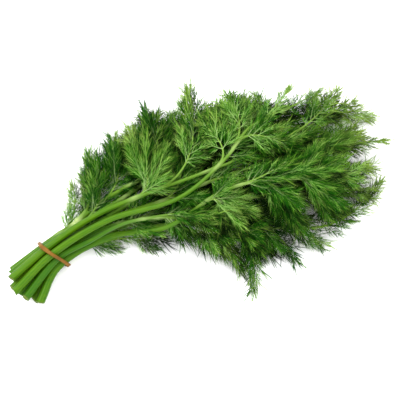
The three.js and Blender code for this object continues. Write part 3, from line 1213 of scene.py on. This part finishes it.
@dataclass(frozen=True)
class Form:
    """The form of one order's shoots.

    Attributes:
        radius: Their radius at the root.
        rings: Shares of the way at which their rings are.
        rib: How much their roots look like leaf stalks, from 0 to 1.
    """

    radius: float
    rings: tuple[float, ...]
    rib: float = 0.0


PINNA_FORM = Form(0.42, (0.0, 0.3, 0.6, 0.85), 1.0)
PINNULE_FORM = Form(0.25, (0.0, 0.5), 0.35)
THREAD_FORM = Form(0.27, (0.0,))
NEEDLE_FORM = Form(0.5, (0.0, 0.6))


@dataclass
class Cover:
    """How many threads of the whole bunch lie over each small cube of space, which sets how
    dark the fronds' painted shade is.

    Attributes:
        cube: The cubes' width.
        own: The share of its own threads that lies over a cube's middle.
        full: How many threads over a cube hide it.
        low: The lowest corner of the space.
        high: Its highest corner.
    """

    cube: float = 4.0
    own: float = 0.5
    full: float = 17.0
    low: Array = field(default_factory=lambda: np.array([-60.0, -130.0, -20.0]))
    high: Array = field(default_factory=lambda: np.array([340.0, 130.0, 110.0]))

    def count(self, points: Array) -> None:
        """Count the threads over each cube.

        Args:
            points: A point of each thread.
        """
        bins = ((self.high - self.low) / self.cube).astype(int)
        limits = list(zip(self.low, self.high))
        counts = np.histogramdd(points, bins=bins, range=limits)[0]
        for axis in range(3):
            near = np.roll(counts, 1, axis) + np.roll(counts, -1, axis)
            counts = (counts * 2 + near) / 4
        over = np.cumsum(counts[:, :, ::-1], axis=2)[:, :, ::-1]
        self.over = over - counts * (1 - self.own)

    def at(self, points: Array) -> Array:
        """Say how well points are hidden from above.

        Args:
            points: The points.

        Returns:
            A share for each, from 0 for open to 1 for hidden.
        """
        cubes = ((points - self.low) / self.cube).astype(int)
        cubes = np.clip(cubes, 0, np.array(self.over.shape) - 1)
        return np.clip(self.over[tuple(cubes.T)] / self.full, 0, 1)


@dataclass
class Fronds:
    """The leaves of one leafy stem, divided down to single threads."""

    number: int
    leaf_stalks: list[LeafStalk]
    first_seed: int = 900
    sides: int = 3
    taper: float = 0.3
    thinning: float = 0.4
    far_start: float = 225.0
    far_length: float = 60.0
    floor_fade: float = 3.0
    floor_gap: float = 0.35
    leaf_lean: float = 35.0
    leaf_growth: Range = (0.0, 0.6)
    tone_reach: float = 0.6
    bare_start: float = 35.0
    bare_length: float = 110.0
    most_bare: float = 0.4
    hidden_stems: tuple[int, ...] = (7, 9, 10, 11)
    hidden_fullness: float = 1.35
    axil_stems: tuple[int, ...] = (6, 7, 9, 10, 11)
    axil_start: float = 90.0
    axil_length: float = 34.0
    axil_forward: float = 0.3
    axil_rise: float = 4.0
    tip_start: float = 0.62
    tip_growth: float = 0.8
    needle_from: float = 0.8
    needle_share: float = 0.5
    needle_start: float = 0.55
    needle_spread: float = 0.35
    needle_lengths: Range = (8.0, 17.0)
    needle_growth: Range = (0.85, 1.0)

    def grow(self) -> Array:
        """Grow the shoots of every order.

        Returns:
            The middle of each thread.
        """
        rng = np.random.default_rng(self.first_seed + self.number)
        axes = self._leaf_axes(rng)
        self.pinnae = PINNAE.grow(axes, rng)
        self.pinnules = PINNULES.grow(join_sprigs([self.pinnae, self._tips(axes)]), rng)
        self.threads = THREADS.grow(self.pinnules, rng)
        self.needles = self._outer_needles(rng)
        return self.threads.middle

    def build(self, material: bpy.types.Material, cover: Cover) -> bpy.types.Object:
        """Make the piece.

        Args:
            material: The frond finish.
            cover: What lies over each place of the bunch.

        Returns:
            The piece, which stands for its leafy stem together with the stalk.
        """
        surface = Surface()
        self._add_shoots(surface, self.pinnae, PINNA_FORM, cover)
        self._add_shoots(surface, self.pinnules, PINNULE_FORM, cover)
        self._add_shoots(surface, self.threads, THREAD_FORM, cover)
        self._add_shoots(surface, self.needles, NEEDLE_FORM, cover)
        piece = surface.piece(f"leafy_stem_{self.number}_fronds", material, Slot.DILL)
        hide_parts(f"leafy_stem_{self.number}")
        return piece

    def _leaf_axes(self, rng: np.random.Generator) -> Sprigs:
        """Take every leaf stalk as a shoot, each in a plane that leans its own way.

        Args:
            rng: The source of chance.

        Returns:
            The leaves' axes, with those of the young shoots of low stems.
        """
        hidden = self.number in self.hidden_stems
        rows = []
        for place, stalk in enumerate(self.leaf_stalks):
            start, middle, end = extended(stalk)
            reach = np.linalg.norm(end - start)
            bare = np.clip((reach - self.bare_start) / self.bare_length, 0, self.most_bare)
            bare = BARE_SHARES.get((self.number, place), 0.0 if hidden else bare)
            full = self.hidden_fullness if hidden else 1.0
            full = BREADTHS.get((self.number, place), full)
            rows.append((start, middle, end, *self._plane(start, end, rng), bare, full))
            inner = 0 < place < len(self.leaf_stalks) - 1 and start[0] > self.axil_start
            if inner and self.number in self.axil_stems:
                axil = self._axil_end(start, middle, end)
                plane = self._plane(start, axil, rng)
                rows.append((start, (start + axil) / 2, axil, *plane, 0.0, 1.0))
        return Sprigs(*(np.array(column, dtype=float) for column in zip(*rows)))

    def _axil_end(self, start: Array, middle: Array, end: Array) -> Array:
        """Place the tip of the young shoot that grows opposite a leaf of a low stem.

        Args:
            start: The leaf's root.
            middle: The point that the leaf's stalk bends towards.
            end: The leaf's tip.

        Returns:
            The young shoot's tip.
        """
        heading = unit(middle - start)
        leaf = unit(end - start)
        opposite = 2 * (leaf @ heading) * heading - leaf
        tip = start + unit(opposite + heading * self.axil_forward) * self.axil_length
        tip[2] = np.clip(tip[2], self.axil_rise, start[2] + self.axil_rise)
        return tip

    def _plane(
        self, start: Array, end: Array, rng: np.random.Generator
    ) -> tuple[Array, Range, float]:
        """Choose a leaf's plane and tone.

        Args:
            start: The leaf's root.
            end: Its tip.
            rng: The source of chance.

        Returns:
            The direction square to its plane, its growth and its tone.
        """
        along = unit(end - start)
        up = square_to(UP, along)
        lean = np.radians(rng.uniform(-self.leaf_lean, self.leaf_lean))
        normal = np.cos(lean) * up + np.sin(lean) * np.cross(along, up)
        return normal, self.leaf_growth, rng.uniform(-self.tone_reach, self.tone_reach)

    def _tips(self, axes: Sprigs) -> Sprigs:
        """Take the last stretch of each leaf's axis as a shoot that divides like a pinna.

        Args:
            axes: The leaves' axes.

        Returns:
            A shoot for each.
        """
        share = np.full(len(axes.tone), self.tip_start)
        start = axes.at(share)
        middle = (start + axes.end) / 2
        growth = np.stack([axes.growth[:, 1] * share, np.full(len(share), self.tip_growth)], 1)
        bare = np.zeros(len(share))
        return Sprigs(start, middle, axes.end, axes.normal, growth, axes.tone, bare, axes.full)

    def _outer_needles(self, rng: np.random.Generator) -> Sprigs:
        """Grow the straight, stiff threads that stand out at the leaves' outer ends.

        Args:
            rng: The source of chance.

        Returns:
            The threads.
        """
        outer = self.pinnules.growth[:, 1] > self.needle_from
        chosen = outer & (rng.random(len(outer)) < self.needle_share)
        carrier = self.pinnules.pick(np.flatnonzero(chosen))
        count = len(carrier.tone)
        start = carrier.at(np.full(count, self.needle_start))
        heading = unit(carrier.end - start + rng.normal(0, self.needle_spread, (count, 3)))
        end = start + heading * rng.uniform(*self.needle_lengths, count)[:, None]
        middle = (start + end) / 2
        growth = np.tile(self.needle_growth, (count, 1))
        none = np.zeros(count)
        return Sprigs(start, middle, end, carrier.normal, growth, carrier.tone, none, none)

    def _add_shoots(self, surface: Surface, shoots: Sprigs, form: Form, cover: Cover) -> None:
        """Add shoots that end in a point.

        Args:
            surface: The piece's surface.
            shoots: The shoots.
            form: Their form.
            cover: What lies over each place of the bunch.
        """
        count = len(shoots.tone)
        low, high = shoots.growth[:, :1], shoots.growth[:, 1:]
        facing = unit(np.cross(shoots.end - shoots.start, NEARLY_UP))
        rings = []
        for share in form.rings:
            at = np.full(count, share)
            middle, along = shoots.at(at), shoots.heading(at)
            up = square_to(facing, along)
            side = np.cross(up, along)
            size = form.radius * (1 - self.taper * share) * (1 - self.thinning * low**2)
            for turn in angles_round(self.sides):
                rings.append(middle + size * (math.cos(turn) * side + math.sin(turn) * up))
        rings.append(shoots.end)
        corners = self._above_floor(np.stack(rings, 1).reshape(-1, 3))
        each = len(form.rings) * self.sides + 1
        pattern = tube_faces(len(form.rings), self.sides, capped=True)
        faces = pattern[None] + each * np.arange(count)[:, None, None]
        way = ring_values(form.rings, self.sides, 1.0)
        surface.add(
            corners, faces.reshape(-1, 3), growth=(low + (high - low) * way).ravel(),
            tone=np.repeat(shoots.tone, each), rib=np.tile(form.rib * (1 - way), count),
            # The mark for the painted shade under the threads overhead
            cover=cover.at(corners),
            far=np.clip((corners[:, 0] - self.far_start) / self.far_length, 0, 1),
        )

    def _above_floor(self, corners: Array) -> Array:
        """Press what would sink below the floor into a thin layer on it.

        Args:
            corners: The corners, which are moved.

        Returns:
            The same corners.
        """
        height = corners[:, 2]
        pressed = self.floor_fade * np.exp(np.minimum(height / self.floor_fade - 1, 0))
        corners[:, 2] = np.where(height < self.floor_fade, pressed, height) + self.floor_gap
        return corners


# The rubber band


@dataclass
class RubberBand:
    """The band round the bundle: a rounded strand that leans back over the top.

    Attributes:
        steps_per_arc: How many rings it has round an outermost stem.
        steps_per_run: How many it has between two of them.
        section: How many corners a ring has.
        roundness: How round its section is, from 0 for a box to 1.
        groove: Depth of the groove along its outside.
        groove_width: The groove's width against the band's.
        edge_power: How narrow the painted shade at its sides is.
        edge_strength: How dark that painted shade is, from 0 to 1.
        waves: Size, number and start of each wave of its width.
        outermost: Row and place of the stems that it touches.
    """

    steps_per_arc: int = 14
    steps_per_run: int = 9
    section: int = 20
    roundness: float = 0.75
    groove: float = 0.3
    groove_width: float = 0.28
    edge_power: int = 4
    edge_strength: float = 0.8
    waves: tuple[Point, ...] = ((0.1, 3.0, 0.0), (0.06, 7.0, 1.0))
    outermost: tuple[Range, ...] = (
        (0, 1), (1, 1.5), (3, 0.5), (3, -0.5), (1, -1.5), (0, -1),
    )

    def build(self, material: bpy.types.Material) -> bpy.types.Object:
        """Make the piece.

        Args:
            material: The rubber finish.

        Returns:
            The piece, which stands for the solid ring.
        """
        path, outward = self._outline()
        count = len(path)
        turn, way = angles_round(self.section), angles_round(count)
        round_out, round_along = (
            np.sign(wave) * np.abs(wave) ** self.roundness for wave in (np.cos(turn), np.sin(turn))
        )
        swell = sum(size * np.sin(number * way + start) for size, number, start in self.waves)
        width = RULES.band_width / 2 * (1 + swell)
        dent = self.groove * bump(round_along, self.groove_width) * (np.cos(turn) > 0)
        depth = RULES.band_thickness / 2 * round_out - dent
        flat = path[:, None] + outward[:, None] * depth[None, :, None]
        across = width[:, None] * round_along[None]
        height = path[:, 1].max() + RULES.band_thickness / 2
        along = across - RULES.band_lean * (flat[..., 1] / height) ** 2
        along = along - RULES.band_turn * flat[..., 0]
        corners = np.stack([
            along,
            flat[..., 0] + RULES.band_slope * along,
            flat[..., 1] * (1 + RULES.band_rise * along / height),
        ], -1)
        k, j = np.meshgrid(np.arange(count), np.arange(self.section), indexing="ij")
        after, beside = (k + 1) % count, (j + 1) % self.section
        a, b = k * self.section + j, after * self.section + j
        c, d = after * self.section + beside, k * self.section + beside
        faces = np.stack([np.stack([a, b, c], -1), np.stack([a, c, d], -1)], 2)
        # Painted shade: darker towards the band's sides and in the groove along its outside
        edge = np.abs(round_along) ** self.edge_power * self.edge_strength + dent
        surface = Surface()
        surface.add(corners.reshape(-1, 3), faces.reshape(-1, 3), edge=np.tile(edge, count))
        piece = surface.piece("rubber_band_ring", material, Slot.BAND)
        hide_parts("rubber_band")
        return piece

    def _outline(self) -> tuple[Array, Array]:
        """Lay out the band's middle line round the bundle, seen along the stems.

        Returns:
            Its points, and the outward direction at each.
        """
        centres = np.array([RULES.tie(*place)[1:] for place in self.outermost])
        runs = np.roll(centres, -1, axis=0) - centres
        outer = np.arctan2(runs[:, 1], runs[:, 0]) - math.pi / 2
        distance = RULES.stem_radius + RULES.band_gap + RULES.band_thickness / 2
        path, outward = [], []
        for i, centre in enumerate(centres):
            start, end = outer[i - 1], outer[i]
            turned = (end - start) % FULL_TURN
            angles = start + turned * np.linspace(0, 1, self.steps_per_arc)
            around = np.stack([np.cos(angles), np.sin(angles)], 1)
            path.append(centre + distance * around)
            outward.append(around)
            following = centres[(i + 1) % len(centres)] + distance * around[-1]
            straight = np.linspace(0, 1, self.steps_per_run + 2)[1:-1, None]
            path.append(path[-1][-1] + (following - path[-1][-1]) * straight)
            outward.append(np.repeat(around[-1:], self.steps_per_run, axis=0))
        return np.concatenate(path), np.concatenate(outward)


# The studio


@dataclass(frozen=True)
class Camera:
    """The photograph's camera, which looks down on the bunch."""

    azimuth: float = -22.0
    elevation: float = 68.0
    lens: float = 85.0
    sensor: float = 36.0
    distance: float = 774.4
    target: Point = (125.5, -3.7, 20.0)

    def place(self) -> None:
        """Put the camera in the scene."""
        turn, tilt = math.radians(self.azimuth), math.radians(self.elevation)
        back = np.array([
            math.sin(turn) * math.cos(tilt), -math.cos(turn) * math.cos(tilt), math.sin(tilt),
        ])
        data = bpy.data.cameras.new("camera")
        data.lens, data.sensor_width = self.lens, self.sensor
        camera = bpy.data.objects.new("camera", data)
        camera.location = (np.array(self.target) + back * self.distance) * METRES
        camera.rotation_euler = (math.pi / 2 - tilt, 0, turn)
        bpy.context.scene.collection.objects.link(camera)
        bpy.context.scene.camera = camera


@dataclass(frozen=True)
class Lamp:
    """A soft square light that faces the bunch.

    Attributes:
        name: The light's name.
        place: Where it stands, in metres.
        size: Its width, in metres.
        power: Its power in watts.
    """

    name: str
    place: Point
    size: float
    power: float

    def light(self, target: Point) -> None:
        """Put the light in the scene.

        Args:
            target: The point that it faces, in metres.
        """
        data = bpy.data.lights.new(self.name, "AREA")
        data.size, data.energy = self.size, self.power
        lamp = bpy.data.objects.new(self.name, data)
        lamp.location = self.place
        away = np.array(self.place) - np.array(target)
        flat = math.hypot(away[0], away[1])
        lamp.rotation_euler = (
            math.atan2(flat, away[2]), 0, math.atan2(away[1], away[0]) + math.pi / 2,
        )
        bpy.context.scene.collection.objects.link(lamp)


@dataclass(frozen=True)
class Studio:
    """A pale floor under soft, even light from above."""

    floor_width: float = 8.0
    sky: float = 1.85
    middle: Point = (0.125, 0.0, 0.02)
    lamps: tuple[Lamp, ...] = (
        Lamp("key", (-0.5, 0.8, 1.8), 1.0, 47.0),
        Lamp("fill", (0.9, -0.9, 1.3), 1.6, 14.0),
    )

    def build(self) -> None:
        """Make the floor, the sky light and the lamps."""
        half = self.floor_width / 2
        mesh = bpy.data.meshes.new("floor")
        corners = [(-half, -half, 0), (half, -half, 0), (half, half, 0), (-half, half, 0)]
        mesh.from_pydata(corners, [], [(0, 1, 2, 3)])
        mesh.materials.append(FloorFinish().material())
        floor = bpy.data.objects.new("floor", mesh)
        bpy.context.scene.collection.objects.link(floor)
        world = bpy.data.worlds.new("sky")
        world.use_nodes = True
        backdrop = world.node_tree.nodes["Background"]
        backdrop.inputs["Color"].default_value = (1.0, 1.0, 1.0, 1.0)
        backdrop.inputs["Strength"].default_value = self.sky
        bpy.context.scene.world = world
        bpy.context.scene.view_settings.view_transform = "Standard"
        for lamp in self.lamps:
            lamp.light(self.middle)


def main() -> None:
    """Build the studio, then the bunch piece by piece."""
    logging.basicConfig(level=logging.INFO, format="%(message)s")
    Camera().place()
    Studio().build()
    stalk_green = StalkFinish().material()
    frond_green = FrondFinish().material()
    bundle = Bundle()
    fronds = [Fronds(number, stalks) for number, stalks in enumerate(bundle.stalks, 1)]
    cover = Cover()
    cover.count(np.concatenate([leaves.grow() for leaves in fronds]))
    for line, leaves in zip(bundle.lines, fronds):
        Stalk(leaves.number, line, leaves.leaf_stalks).build(stalk_green)
        leaves.build(frond_green, cover)
    RubberBand().build(RubberFinish().material())


if __name__ == "__main__":
    main()
